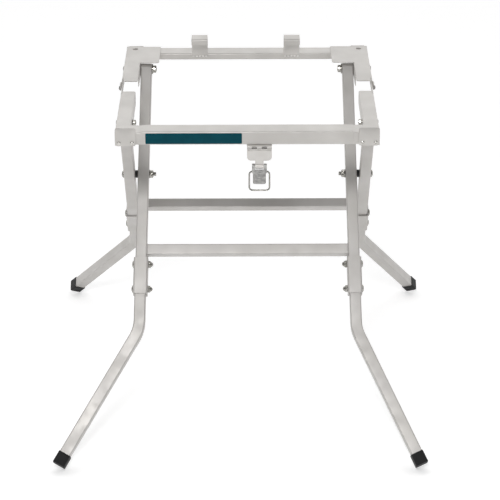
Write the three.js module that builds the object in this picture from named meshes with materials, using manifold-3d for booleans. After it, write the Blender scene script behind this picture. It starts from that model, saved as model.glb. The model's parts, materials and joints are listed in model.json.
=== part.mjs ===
// Folding stand for a jobsite table saw: two scissor leg frames under a top frame that hinges in the middle.
// Millimetres. +X is the right of the stand, +Y its rear, +Z up. The origin is on the floor under the scissor pivot.
import * as THREE from "three";
import { mergeVertices } from "three/addons/utils/BufferGeometryUtils.js";
import Module from "manifold-3d";

const wasm = await Module();
wasm.setup();

// Driving dimensions of the whole stand
const deckHeight = 600; // floor to the corner plates that the saw base sits on
const frameDepth = 442; // over the front and the rear rail
const topPivotDrop = 13.1; // deck to the pivot at the top of a leg
const legReach = 211.4; // scissor pivot to the top pivot
const legAngle = THREE.MathUtils.degToRad(41.22); // lean of the legs from the vertical
const legSplay = THREE.MathUtils.degToRad(0.84); // the legs spread a little towards the feet
const innerLegTopX = 192.6; // centre plane to the axis of an inner leg, at its top pivot
const seamGap = 0.3; // left where two welded or stacked pieces meet
const overrun = 4; // how far a cutter reaches past what it cuts

// Square tube of the legs
const tube = { size: 21, wall: 1.5, corner: 2.2 };
// Square tubes that tie each pair of legs together
const lowerBar = { size: 20.2, wall: 1.5, corner: 2.2, belowPivot: 150.2 };
const upperBar = { size: 19.2, wall: 1.5, corner: 2, belowPivot: 138.3 };
// Square collar that joins the upper and the lower tube of a leg
const sleeve = { fit: 0.4, wall: 2.4, corner: 3, start: 166.5, length: 69.3, boltEdge: 11, tubeGap: 1 };
// Lower tube, bent outwards above the floor. The left tubes are bent a little more than the right ones.
const lowerLeg = {
  bendFromPivot: 303,
  bendRadius: 70,
  bendSteps: 5,
  frontBend: { left: THREE.MathUtils.degToRad(28.8), right: THREE.MathUtils.degToRad(23.6) },
  rearBend: { left: THREE.MathUtils.degToRad(28.8), right: THREE.MathUtils.degToRad(25.5) },
};
const foot = { wall: 1.3, length: 23, sole: 3, corner: 3 };
// Bolts: shank, hole clearance on the radius, head, washer and nut
const carriageBolt = {
  radius: 3, hole: 0.4, headRadius: 7.2, headHeight: 3.6, nutRadius: 6.8, nutHeight: 9.5, capRadiusShare: 0.8,
};
const pivotBolt = {
  radius: 4, hole: 0.5, headRadius: 7.2, headHeight: 4.2, nutRadius: 7.4, nutHeight: 6, washerRadius: 8.2,
  washerHeight: 1.6, threadLength: 5,
};
const rearBolt = {
  radius: 3.8, hole: 0.5, headRadius: 7, headHeight: 3.6, nutRadius: 7, nutHeight: 6, washerRadius: 9.6,
  washerHeight: 2, threadLength: 0.6,
};
const frontBolt = {
  radius: 3, hole: 0.5, headRadius: 5, headHeight: 2.6, nutRadius: 5.4, nutHeight: 5, washerRadius: 6,
  washerHeight: 1.2, threadLength: 0.6,
};
const spacer = { radius: 7.2, endGap: 0.25 };
// Pressed sheet of the top frame
const sheet = { thickness: 1.5, outerRadius: 2.6, innerRadius: 1.1 };
const nestGap = 0.3; // between the flanges of the front channel and those of the rear channel around it
// Between a leg and the flange beside it. The splayed outer leg needs more room on its outer side when folded.
const legGap = { rear: 0.6, front: 1.4, frontOuter: 1.3 };
const sideArm = { depth: 25, rearEnd: 28, frontEnd: -16, endCorner: 8 };
// The inner flanges run from near the middle to just past the top pivot. The rear one starts late.
const innerFlange = { rearStart: 66, rearPastPivot: 12.7, frontPastPivot: 41.7 };
const middlePivot = { y: 17, drop: 6, tabRadius: 5, offset: 2.4, radius: 2.4, headRadius: 3.8, headHeight: 1.9 };
const innerHead = { height: 0.6 }; // closed end of the middle rivet, between the two tabs
const notch = { width: 3, length: 14, depth: 2.4 }; // cut from the outer corner of the front channel beside its tab
const slot = { length: 15 }; // relief cut in the rear channel, where the front tab passes when the stand folds
// Plates of the corner brackets, and the tongues that carry the rails
const rearFoot = { length: 93.5, width: { left: 66.2, right: 71.8 }, corner: 7 };
const frontArm = { width: 46.4 };
const tongue = { length: 22, corner: 3 };
const plateHole = { radius: 5.4, fromSide: 17, fromRail: 14.5 };
const rail = { width: 35.3, outerFlange: 24.2, innerFlange: 11, thickness: 1.5, outerRadius: 3, innerRadius: 1.5 };
// Plates across the corners of the top frame: how far they stand above the deck and hang below it
const stopPlate = {
  thickness: 2.5,
  below: 24.4,
  fromSide: 0.6,
  front: { width: 36.4, proud: 9.6, corner: 4 },
  rear: { width: 34.4, proud: 3.6, corner: 6 },
};
const stopScrew = { headRadius: 3.6, headHeight: 2.2, sunk: 0.5, fromBottom: 5.8, spacing: 23 };
const hook = {
  width: 30.5, thickness: 3, rise: 39, reach: 31, lip: 11, leftX: -91, rightX: 86, drop: 4.6, outerRadius: 4,
  innerRadius: 1, teeth: 5, toothDepth: 3,
};
// Latch under the middle of the front rail
const latch = { centreX: 21.2, width: 43.7, thickness: 1.8, pinBehind: 0.8, pinDrop: 29 };
const knuckle = { count: 5, radius: 4.2, pinRadius: 1.9, gap: 0.4, pinPlay: 0.3, sides: 14 };
const fixedLeaf = { height: 23.5, behind: 0.3 };
const flap = { height: 23.9, corner: 7, neckWidth: 15, ringDrop: 34.7, ringRadius: 4.4 };
const lever = {
  width: 23, length: 32.2, thickness: 3.4, earWidth: 5.2, earRadius: 4.9, ridges: 7, ridgeDepth: 0.7, corner: 3,
};
const bail = {
  wire: 1.5, width: 35.8, length: 36.3, corner: 6.2, overlap: 0.12, fromPin: 9.7, play: 0.35, cradle: 1.4,
};

// Places worked out from the dimensions above
const tubeHalf = tube.size / 2;
const topPivotY = legReach * Math.sin(legAngle);
const topPivotZ = deckHeight - topPivotDrop;
const pivotHeight = topPivotZ - legReach * Math.cos(legAngle);
const railFace = frameDepth / 2;
// Flanges of the two nested channels, from the inside out
const rearInnerX = innerLegTopX + tubeHalf + legGap.rear;
const frontInnerX = rearInnerX + sheet.thickness + nestGap;
const outerLegTopX = frontInnerX + sheet.thickness + legGap.front + tubeHalf;
const frontOuterX = outerLegTopX + tubeHalf + legGap.frontOuter + sheet.thickness;
const rearOuterX = frontOuterX + nestGap + sheet.thickness;
const pivotSplay = legReach * Math.sin(legSplay);
const innerLegX = innerLegTopX + pivotSplay;
const outerLegX = outerLegTopX + pivotSplay;
const middlePivotZ = deckHeight - middlePivot.drop;
const tabOuterX = rearOuterX + middlePivot.offset;
const railTop = deckHeight + rail.thickness + seamGap;
// Corners of the top frame: their side of the scissor pivot (1 is the rear), the top of their plates, and the face
// of their flanges. The front rail lies on tongues of its brackets. The rear one runs under the plates.
const frontCorner = { way: -1, top: deckHeight, face: railFace };
const rearCorner = {
  way: 1,
  top: railTop + seamGap + sheet.thickness,
  face: railFace + seamGap + sheet.thickness,
};
const rearSeamX = { left: rearOuterX - rearFoot.width.left, right: rearOuterX - rearFoot.width.right };
const frontSeamX = frontOuterX - frontArm.width;

const finish = (color, roughness, metalness) => new THREE.MeshStandardMaterial({ color, roughness, metalness });
const greyPaint = () => finish(0xc9c8c5, 0.45, 0.35);
const zinc = () => finish(0xb4b2ab, 0.35, 0.9);
const blackRubber = () => finish(0x17181a, 0.85, 0);
const darkZinc = () => finish(0x8d8d8a, 0.4, 0.8);

const stand = new THREE.Group();

// Solids: a three.js geometry becomes a manifold, is joined or cut, and goes back
function solidOf(geometry) {
  const bare = geometry.index ? geometry.toNonIndexed() : geometry.clone();
  bare.deleteAttribute("normal");
  bare.deleteAttribute("uv");
  const merged = mergeVertices(bare, 1e-4);
  const vertProperties = new Float32Array(merged.attributes.position.array);
  const triVerts = new Uint32Array(merged.index.array);
  return new wasm.Manifold(new wasm.Mesh({ numProp: 3, vertProperties, triVerts }));
}

function geometryOf(solid) {
  const mesh = solid.getMesh();
  const geometry = new THREE.BufferGeometry();
  const places = new Float32Array(mesh.numVert * 3);
  for (let i = 0; i < mesh.numVert; i++)
    places.set(mesh.vertProperties.subarray(i * mesh.numProp, i * mesh.numProp + 3), i * 3);
  geometry.setAttribute("position", new THREE.BufferAttribute(places, 3));
  geometry.setIndex(new THREE.BufferAttribute(mesh.triVerts, 1));
  geometry.computeVertexNormals();
  return geometry;
}

const join = (first, ...others) => geometryOf(others.reduce((sum, g) => sum.add(solidOf(g)), solidOf(first)));
const cut = (first, ...others) => geometryOf(others.reduce((rest, g) => rest.subtract(solidOf(g)), solidOf(first)));
const common = (first, second) => geometryOf(solidOf(first).intersect(solidOf(second)));

function addPiece(parent, name, geometry, material) {
  const mesh = new THREE.Mesh(geometry, material);
  mesh.name = name;
  parent.add(mesh);
  return mesh;
}

// Outline of a rectangle with round corners, about its centre
function roundedRectangle(width, height, corner) {
  const [w, h] = [width / 2, height / 2];
  const outline = new THREE.Shape();
  outline.moveTo(w, -h + corner);
  outline.lineTo(w, h - corner);
  outline.absarc(w - corner, h - corner, corner, 0, Math.PI / 2);
  outline.lineTo(-w + corner, h);
  outline.absarc(-w + corner, h - corner, corner, Math.PI / 2, Math.PI);
  outline.lineTo(-w, -h + corner);
  outline.absarc(-w + corner, -h + corner, corner, Math.PI, 1.5 * Math.PI);
  outline.lineTo(w - corner, -h);
  outline.absarc(w - corner, -h + corner, corner, 1.5 * Math.PI, 2 * Math.PI);
  return outline;
}

// Section of a square tube
function tubeSection({ size, wall, corner }) {
  const section = roundedRectangle(size, size, corner);
  const bore = size / 2 - wall;
  const corners = [[bore, -bore], [bore, bore], [-bore, bore], [-bore, -bore]];
  section.holes.push(new THREE.Path(corners.map(([x, y]) => new THREE.Vector2(x, y))));
  return section;
}

const extrude = (outline, depth, curveSegments = 2) =>
  new THREE.ExtrudeGeometry(outline, { depth, bevelEnabled: false, curveSegments });

// Straight extrusions along each axis, from a start to an end. Outlines are drawn in (X, Y), (Y, Z) or (X, Z).
const alongZ = (outline, from, to, segments) => extrude(outline, to - from, segments).translate(0, 0, from);
const alongX = (outline, from, to, segments) =>
  extrude(outline, to - from, segments).rotateZ(Math.PI / 2).rotateY(Math.PI / 2).translate(from, 0, 0);
const alongY = (outline, from, to, segments) =>
  extrude(outline, to - from, segments).rotateX(Math.PI / 2).translate(0, to, 0);

// Round bar along X between two places
const barX = (radius, from, to, sides = 12) =>
  new THREE.CylinderGeometry(radius, radius, Math.abs(to - from), sides)
    .rotateZ(Math.PI / 2)
    .translate((from + to) / 2, 0, 0);

// Revolved profile of [radius, distance] points, turned so that its axis runs along X towards the given side
const revolveX = (profile, side, sides = 16) =>
  new THREE.LatheGeometry(profile.map(([r, d]) => new THREE.Vector2(r, d)), sides).rotateZ((-side * Math.PI) / 2);

// Hexagon nut or head along X, from one place outwards by its height
const hexX = (radius, from, height, side) =>
  new THREE.CylinderGeometry(radius, radius, height, 6).rotateZ(Math.PI / 2).translate(from + (side * height) / 2, 0, 0);

// Domed head, from the seat outwards
function domeProfile(radius, height, seat) {
  const arcPoints = 3;
  const profile = [[0, seat], [radius, seat]];
  for (let i = 1; i <= arcPoints; i++) {
    const turn = (i / arcPoints) * (Math.PI / 2);
    profile.push([i === arcPoints ? 0 : radius * Math.cos(turn), seat + height * Math.sin(turn)]);
  }
  return profile;
}

// Legs. Each is drawn along Z about the scissor pivot, with the top pivot above and the foot below.

// Path of a lower tube: straight, an arc in the XZ plane, straight. Its steps fall where the tube bends.
class BentPath extends THREE.Curve {
  constructor(start, bendStart, radius, angle, tail, steps, side) {
    super();
    Object.assign(this, { start, bendStart, radius, angle, tail, steps, side });
  }
  getUtoTmapping(u) {
    return u;
  }
  getPoint(t, target = new THREE.Vector3()) {
    const step = t * (this.steps + 2);
    if (step <= 1) return target.set(0, 0, THREE.MathUtils.lerp(this.start, this.bendStart, step));
    const turn = (this.angle * Math.min(step - 1, this.steps)) / this.steps;
    const beyond = Math.max(step - 1 - this.steps, 0) * this.tail;
    const x = this.radius * (1 - Math.cos(turn)) + beyond * Math.sin(this.angle);
    const z = this.bendStart - this.radius * Math.sin(turn) - beyond * Math.cos(this.angle);
    return target.set(this.side * x, 0, z);
  }
  getTangent(t, target = new THREE.Vector3()) {
    const turn = (this.angle * THREE.MathUtils.clamp(t * (this.steps + 2) - 1, 0, this.steps)) / this.steps;
    return target.set(this.side * Math.sin(turn), 0, -Math.cos(turn));
  }
}

// How far the straight tail under the bend runs, so that the round corner of the foot just meets the floor
function lowerLegTail(bend) {
  const flatHalf = tubeHalf + foot.wall - foot.corner;
  const alongDrop = Math.cos(bend + legSplay) * Math.cos(legAngle);
  const [downY, downX] = [Math.sin(legAngle), Math.sin(bend + legSplay) * Math.cos(legAngle)];
  const cornerDrop = flatHalf * (downX + downY) + foot.corner * Math.hypot(downX, downY);
  const tangent = lowerLeg.bendRadius * Math.tan(bend / 2);
  const vertexHeight = pivotHeight - lowerLeg.bendFromPivot * Math.cos(legSplay) * Math.cos(legAngle);
  return (vertexHeight - cornerDrop) / alongDrop - tangent - foot.sole;
}

function upperTube(topBolt) {
  const end = -(sleeve.start + sleeve.length / 2 - sleeve.tubeGap / 2);
  const body = alongZ(tubeSection(tube), end, legReach);
  const crown = cut(
    barX(tubeHalf, -tubeHalf, tubeHalf, 24).translate(0, 0, legReach),
    barX(tubeHalf - tube.wall, -tubeHalf + tube.wall, tubeHalf - tube.wall, 24).translate(0, 0, legReach),
    alongZ(
      roundedRectangle(tube.size + overrun, tube.size + overrun, tube.corner), legReach - tube.size, legReach - tube.wall,
    ),
  );
  const topHole = barX(topBolt.radius + topBolt.hole, -tube.size, tube.size, 10).translate(0, 0, legReach);
  const pivotHole = barX(pivotBolt.radius + pivotBolt.hole, -tube.size, tube.size, 10);
  return cut(join(body, crown), topHole, pivotHole, ...sleeveHoles());
}

const sleeveBoltPlaces = () => [
  -(sleeve.start + sleeve.boltEdge),
  -(sleeve.start + sleeve.length - sleeve.boltEdge),
];

const sleeveHoles = () =>
  sleeveBoltPlaces().map((z) =>
    barX(carriageBolt.radius + carriageBolt.hole, -2 * tube.size, 2 * tube.size, 8).translate(0, 0, z),
  );

function sleeveTube() {
  const size = tube.size + 2 * (sleeve.fit + sleeve.wall);
  const section = tubeSection({ size, wall: sleeve.wall, corner: sleeve.corner });
  return cut(alongZ(section, -(sleeve.start + sleeve.length), -sleeve.start), ...sleeveHoles());
}

function lowerTube(side, bend) {
  const tangent = lowerLeg.bendRadius * Math.tan(bend / 2);
  const start = -(sleeve.start + sleeve.length / 2 + sleeve.tubeGap / 2);
  const bendStart = -(lowerLeg.bendFromPivot - tangent);
  const path = new BentPath(
    start, bendStart, lowerLeg.bendRadius, bend, lowerLegTail(bend), lowerLeg.bendSteps, side,
  );
  const settings = { steps: lowerLeg.bendSteps + 2, extrudePath: path, curveSegments: 2 };
  return cut(new THREE.ExtrudeGeometry(tubeSection(tube), settings), ...sleeveHoles());
}

// Rubber cap over the end of a lower tube
function footCap(side, bend) {
  const size = tube.size + 2 * foot.wall;
  const outside = alongZ(roundedRectangle(size, size, foot.corner), -foot.length, 0);
  const bore = tube.size + 2 * seamGap;
  const inside = alongZ(roundedRectangle(bore, bore, tube.corner), -foot.length + foot.sole, overrun);
  const tangent = lowerLeg.bendRadius * Math.tan(bend / 2);
  const reach = tangent + lowerLegTail(bend) + foot.sole - foot.length;
  return cut(outside, inside)
    .translate(0, 0, -reach)
    .rotateY(-side * bend)
    .translate(0, 0, -lowerLeg.bendFromPivot);
}

// Carriage bolt with its cap nut, drawn tight across a sleeve
function sleeveBolt(side, z) {
  const half = tubeHalf + sleeve.fit + sleeve.wall;
  const head = revolveX(domeProfile(carriageBolt.headRadius, carriageBolt.headHeight, half), side);
  const shank = barX(carriageBolt.radius, -side * half, side * (half + carriageBolt.headHeight / 2));
  const nut = hexX(carriageBolt.nutRadius, -side * half, carriageBolt.nutHeight / 2, -side);
  const capRadius = carriageBolt.nutRadius * carriageBolt.capRadiusShare;
  const capHeight = carriageBolt.nutHeight * carriageBolt.capRadiusShare;
  const cap = revolveX(domeProfile(capRadius, capHeight, carriageBolt.nutHeight - capHeight), -side, 12)
    .translate(-side * half, 0, 0);
  return join(shank, head, nut, cap).translate(0, 0, z);
}

function crossbar(bar, legX) {
  const legFace = legX + bar.belowPivot * Math.sin(legSplay) - tubeHalf / Math.cos(legSplay);
  const half = legFace - (bar.size / 2) * Math.tan(legSplay) - seamGap;
  return alongX(tubeSection(bar), -half, half).translate(0, 0, -bar.belowPivot);
}

function legFrame(frame, names, legX, bends, bar, barName) {
  for (const side of [-1, 1]) {
    const hand = side < 0 ? "left" : "right";
    const bend = bends[hand];
    const leg = new THREE.Group();
    leg.position.x = side * legX;
    leg.rotation.y = -side * legSplay;
    addPiece(leg, `${names.leg}_${hand}`, upperTube(names.topBolt), greyPaint());
    addPiece(leg, `${names.sleeve}_${hand}`, sleeveTube(), greyPaint());
    addPiece(leg, `${names.lower}_${hand}`, lowerTube(side, bend), greyPaint());
    addPiece(leg, `${names.foot}_${hand}`, footCap(side, bend), blackRubber());
    sleeveBoltPlaces().forEach((z, i) =>
      addPiece(leg, `${names.sleeve}_bolt_${hand}_${i + 1}`, sleeveBolt(side, z), zinc()),
    );
    frame.add(leg);
  }
  addPiece(frame, barName, crossbar(bar, legX), greyPaint());
}

const innerFrame = new THREE.Group();
innerFrame.position.z = pivotHeight;
innerFrame.rotation.x = -legAngle;
legFrame(
  innerFrame,
  { leg: "inner_leg", sleeve: "inner_sleeve", lower: "front_lower_leg", foot: "front_foot", topBolt: rearBolt },
  innerLegX, lowerLeg.frontBend, lowerBar, "lower_crossbar",
);

const outerFrame = new THREE.Group();
outerFrame.position.z = pivotHeight;
outerFrame.rotation.x = legAngle;
legFrame(
  outerFrame,
  { leg: "outer_leg", sleeve: "outer_sleeve", lower: "rear_lower_leg", foot: "rear_foot", topBolt: frontBolt },
  outerLegX, lowerLeg.rearBend, upperBar, "upper_crossbar",
);
stand.add(innerFrame, outerFrame);

// Bolts along X: the head and shank are one piece, the washer and nut another
function headedBolt(bolt, side, headSeat, tip) {
  const head = revolveX(domeProfile(bolt.headRadius, bolt.headHeight, headSeat), side);
  const shank = barX(bolt.radius, side * tip, side * (headSeat + bolt.headHeight / 2));
  return join(shank, head);
}

const boltTip = (bolt, nutSeat) => nutSeat - bolt.washerHeight - bolt.nutHeight - bolt.threadLength;

function washerNut(bolt, side, seat) {
  const washer = barX(bolt.washerRadius, side * (seat - bolt.washerHeight), side * seat, 18);
  const nut = hexX(bolt.nutRadius, side * seat, bolt.washerHeight + bolt.nutHeight, -side);
  const bore = barX(bolt.radius + bolt.hole / 2, side * (boltTip(bolt, seat) - overrun), side * (seat + overrun));
  return cut(join(washer, nut), bore);
}

function spacerRing(side) {
  const from = innerLegX + tubeHalf / Math.cos(legSplay) + spacer.endGap;
  const to = outerLegX - tubeHalf / Math.cos(legSplay) - spacer.endGap;
  const ring = barX(spacer.radius, side * from, side * to, 24);
  return cut(ring, barX(pivotBolt.radius + pivotBolt.hole, side * (from - overrun), side * (to + overrun)));
}

function boltPair(name, bolt, side, y, z, headSeat, nutSeat) {
  const hand = side < 0 ? "left" : "right";
  const pair = new THREE.Group();
  pair.position.set(0, y, z);
  addPiece(pair, `${name}_bolt_${hand}`, headedBolt(bolt, side, headSeat, boltTip(bolt, nutSeat)), zinc());
  addPiece(pair, `${name}_nut_${hand}`, washerNut(bolt, side, nutSeat), zinc());
  stand.add(pair);
  return pair;
}

for (const side of [-1, 1]) {
  const lean = tubeHalf * Math.tan(legSplay) + seamGap; // room for a flat head on a leaning tube
  const outerSeat = outerLegX + tubeHalf + lean;
  const scissor = boltPair("scissor", pivotBolt, side, 0, pivotHeight, outerSeat, innerLegX - tubeHalf - lean);
  addPiece(scissor, `scissor_spacer_${side < 0 ? "left" : "right"}`, spacerRing(side), blackRubber());
  const rearNutSeat = innerLegTopX - tubeHalf - lean;
  boltPair("rear_pivot", rearBolt, side, topPivotY, topPivotZ, rearOuterX + seamGap, rearNutSeat);
  boltPair("front_pivot", frontBolt, side, -topPivotY, topPivotZ, frontOuterX + seamGap, frontInnerX - seamGap);
}

// Top frame. Each corner is one pressed bracket: a channel along the side, open below, with a plate over the rail.

// Section of a channel open below, in (X, Z), between two flange faces, with its bends rounded
function channelSection(innerX, outerX, top, innerDrop, outerDrop, t, outerRadius, innerRadius) {
  const section = new THREE.Shape();
  section.moveTo(innerX, top - innerDrop);
  section.lineTo(innerX, top - outerRadius);
  section.absarc(innerX + outerRadius, top - outerRadius, outerRadius, Math.PI, Math.PI / 2, true);
  section.lineTo(outerX - outerRadius, top);
  section.absarc(outerX - outerRadius, top - outerRadius, outerRadius, Math.PI / 2, 0, true);
  section.lineTo(outerX, top - outerDrop);
  section.lineTo(outerX - t, top - outerDrop);
  section.lineTo(outerX - t, top - t - innerRadius);
  section.absarc(outerX - t - innerRadius, top - t - innerRadius, innerRadius, 0, Math.PI / 2);
  section.lineTo(innerX + t + innerRadius, top - t);
  section.absarc(innerX + t + innerRadius, top - t - innerRadius, innerRadius, Math.PI / 2, Math.PI);
  section.lineTo(innerX + t, top - innerDrop);
  return section;
}

// Block in world axes, used as a cutter
function block(x0, x1, y0, y1, z0, z1) {
  return new THREE.BoxGeometry(x1 - x0, y1 - y0, z1 - z0).translate((x0 + x1) / 2, (y0 + y1) / 2, (z0 + z1) / 2);
}

const sideHole = (radius, y, z) => barX(radius, 0, tabOuterX + 2 * overrun, 10).translate(0, y, z);

// Side view of a channel in (Y, Z), from its face at the rail to its end near the middle
function channelSide({ way, top, face }, end) {
  const view = new THREE.Shape();
  const bottom = top - sideArm.depth;
  view.moveTo(way * face, top + overrun);
  view.lineTo(way * face, bottom);
  view.lineTo(end + way * sideArm.endCorner, bottom);
  view.quadraticCurveTo(end, bottom, end, bottom + sideArm.endCorner);
  view.lineTo(end, top + overrun);
  return view;
}

function channel(corner, innerX, outerX, end, flangeStart, flangeReach) {
  const { thickness: t, outerRadius, innerRadius } = sheet;
  const { way, top, face } = corner;
  const section = channelSection(innerX, outerX, top, sideArm.depth, sideArm.depth, t, outerRadius, innerRadius);
  const [from, to] = way > 0 ? [end, face] : [-face, end];
  const body = common(
    alongY(section, from, to),
    alongX(channelSide(corner, end), innerX - overrun, outerX + overrun),
  );
  // the inner flange spans only part of the channel
  const outside = [[end - way * overrun, flangeStart], [way * flangeReach, way * (face + overrun)]];
  const spare = outside.map((span) => {
    const [near, far] = span.sort((a, b) => a - b);
    return block(innerX - overrun, innerX + t + innerRadius, near, far, top - 2 * sideArm.depth, top - t);
  });
  return cut(body, ...spare);
}

// Plate over the corner, and the flange across its outer edge
function cornerSheets({ way, top, face }, seamX, outerX, length, corner) {
  const { thickness: t, outerRadius, innerRadius } = sheet;
  const plate = new THREE.Shape();
  const near = way * (face - length);
  const edge = way * (face - outerRadius);
  plate.moveTo(outerX - outerRadius, near);
  plate.lineTo(outerX - outerRadius, edge);
  plate.lineTo(seamX, edge);
  plate.lineTo(seamX, near + way * corner);
  plate.quadraticCurveTo(seamX, near, seamX + corner, near);
  const flange = new THREE.Shape(); // (Y, Z) view of the bend and the flange, drawn at the rear
  flange.moveTo(face - outerRadius, top - t);
  flange.lineTo(face - outerRadius, top);
  flange.absarc(face - outerRadius, top - outerRadius, outerRadius, Math.PI / 2, 0, true);
  flange.lineTo(face, railTop - rail.outerFlange);
  flange.lineTo(face - t, railTop - rail.outerFlange);
  flange.lineTo(face - t, top - t - innerRadius);
  flange.absarc(face - t - innerRadius, top - t - innerRadius, innerRadius, 0, Math.PI / 2);
  const strip = alongX(flange, seamX, outerX);
  const apron = way > 0 ? strip : strip.rotateZ(Math.PI).translate(seamX + outerX, 0, 0);
  return join(alongZ(plate, top - t, top, 4), apron);
}

// Tongue of a front bracket, under the flat of the rail
function railTongue() {
  const side = rail.thickness + rail.innerRadius;
  const [near, far] = [railFace - side, railFace - rail.width + side];
  const outline = roundedRectangle(2 * tongue.length, near - far, tongue.corner);
  return alongZ(outline, deckHeight - sheet.thickness, deckHeight).translate(frontSeamX, -(near + far) / 2, 0);
}

// The outer corner of the bracket follows the bend of the side channel
function corneredBracket({ way, top, face }, piece, outerX) {
  const outline = new THREE.Shape();
  const [far, near] = [way * (face + overrun), way * (face - 2 * sheet.outerRadius)];
  outline.moveTo(outerX + overrun, near);
  outline.lineTo(outerX + overrun, far);
  outline.lineTo(outerX - sheet.outerRadius, far);
  outline.lineTo(outerX - sheet.outerRadius, way * face);
  outline.quadraticCurveTo(outerX, way * face, outerX, way * (face - sheet.outerRadius));
  outline.lineTo(outerX, near);
  return cut(piece, alongZ(outline, top - 2 * sideArm.depth, top + overrun));
}

function bracketHoles({ way, top }, outerX, topBolt, rivetHole) {
  const plateBore = alongZ(
    roundedRectangle(2 * plateHole.radius, 2 * plateHole.radius, plateHole.radius),
    top - sheet.thickness - seamGap / 2, top + overrun, 4,
  ).translate(outerX - plateHole.fromSide, way * (railFace - plateHole.fromRail), 0);
  return [
    plateBore,
    sideHole(topBolt.radius + topBolt.hole, way * topPivotY, topPivotZ),
    sideHole(rivetHole, middlePivot.y, middlePivotZ),
  ];
}

function rearBracket(hand) {
  const flangeReach = topPivotY + innerFlange.rearPastPivot;
  const side = channel(rearCorner, rearInnerX, rearOuterX, sideArm.rearEnd, innerFlange.rearStart, flangeReach);
  const sheets = cornerSheets(rearCorner, rearSeamX[hand], rearOuterX, rearFoot.length, rearFoot.corner);
  // tab for the middle rivet, stepped outwards past the front channel
  const { tabRadius } = middlePivot;
  const { thickness: t } = sheet;
  const end = sideArm.rearEnd + 2 * t;
  const tabTop = rearCorner.top - sheet.outerRadius;
  const tab = join(
    alongX(tabView(end), tabOuterX - t, tabOuterX),
    block(tabOuterX - t, tabOuterX, middlePivot.y, end, middlePivotZ, tabTop),
    block(rearOuterX - t, tabOuterX, sideArm.rearEnd, end, middlePivotZ - tabRadius, tabTop),
  );
  const relief = block(
    frontOuterX - t - nestGap, rearOuterX - t, sideArm.frontEnd, sideArm.rearEnd + slot.length,
    rearCorner.top - 2 * sheet.outerRadius, rearCorner.top + overrun,
  );
  const bores = bracketHoles(rearCorner, rearOuterX, rearBolt, middlePivot.radius);
  return corneredBracket(rearCorner, cut(join(cut(side, relief), sheets, tab), ...bores), rearOuterX);
}

// Side view of a tab in (Y, Z), from where it leaves its channel to the round end about the middle pivot
function tabView(start) {
  const { y, tabRadius } = middlePivot;
  const view = new THREE.Shape();
  const away = Math.sign(start - y);
  view.moveTo(start, middlePivotZ - tabRadius);
  view.lineTo(y, middlePivotZ - tabRadius);
  view.absarc(y, middlePivotZ, tabRadius, -Math.PI / 2, Math.PI / 2, away > 0);
  view.lineTo(start, middlePivotZ + tabRadius);
  return view;
}

function frontBracket() {
  const { rearEnd, frontEnd } = sideArm;
  const flangeReach = topPivotY + innerFlange.frontPastPivot;
  const side = channel(frontCorner, frontInnerX, frontOuterX, frontEnd, frontEnd, flangeReach);
  const sheets = cornerSheets(frontCorner, frontSeamX, frontOuterX, rail.width, sheet.outerRadius);
  const start = frontEnd - notch.length;
  const corner = block(
    frontOuterX - notch.width, frontOuterX + overrun, start, rearEnd, deckHeight - notch.depth, deckHeight + overrun,
  );
  const tab = alongX(tabView(start), frontOuterX - sheet.thickness, frontOuterX);
  const whole = join(cut(join(side, sheets, railTongue()), corner), tab);
  const bores = bracketHoles(frontCorner, frontOuterX, frontBolt, middlePivot.radius + nestGap);
  return corneredBracket(frontCorner, cut(whole, ...bores), frontOuterX);
}

// Rail across the stand, a channel with a deep outer and a shallow inner flange
function railBar(way, half) {
  const { width, outerFlange, thickness, outerRadius, innerRadius } = rail;
  const section = channelSection(
    railFace - width, railFace, railTop, rail.innerFlange, outerFlange, thickness, outerRadius, innerRadius,
  );
  const bar = alongX(section, -half, half);
  return way > 0 ? bar : bar.rotateZ(Math.PI);
}

// Strip bent into a hook over the rear rail, with teeth along the edge that is welded to the rail
function hookPiece(centreX) {
  const { width, thickness: t, rise, reach, lip, outerRadius, innerRadius, drop, teeth, toothDepth } = hook;
  const back = railFace - rail.width - seamGap;
  const top = railTop + rise;
  const view = new THREE.Shape();
  view.moveTo(back, railTop - drop);
  view.lineTo(back, top - outerRadius);
  view.absarc(back - outerRadius, top - outerRadius, outerRadius, 0, Math.PI / 2);
  view.lineTo(back - reach + outerRadius, top);
  view.absarc(back - reach + outerRadius, top - outerRadius, outerRadius, Math.PI / 2, Math.PI);
  view.lineTo(back - reach, top - lip);
  view.lineTo(back - reach + t, top - lip);
  view.lineTo(back - reach + t, top - t - innerRadius);
  view.absarc(back - reach + t + innerRadius, top - t - innerRadius, innerRadius, Math.PI, Math.PI / 2, true);
  view.lineTo(back - t - innerRadius, top - t);
  view.absarc(back - t - innerRadius, top - t - innerRadius, innerRadius, Math.PI / 2, 0, true);
  view.lineTo(back - t, railTop - drop);
  const left = centreX - width / 2;
  const strip = alongX(view, left, left + width);
  const pitch = width / teeth;
  const cuts = Array.from({ length: teeth - 1 }, (_, i) => {
    const wedge = new THREE.Shape();
    const middle = left + (i + 1) * pitch;
    wedge.moveTo(middle - pitch / 4, railTop - drop - overrun);
    wedge.lineTo(middle + pitch / 4, railTop - drop - overrun);
    wedge.lineTo(middle, railTop - drop + toothDepth);
    return alongY(wedge, back - 2 * t, back + t);
  });
  return cut(strip, ...cuts);
}

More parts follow.
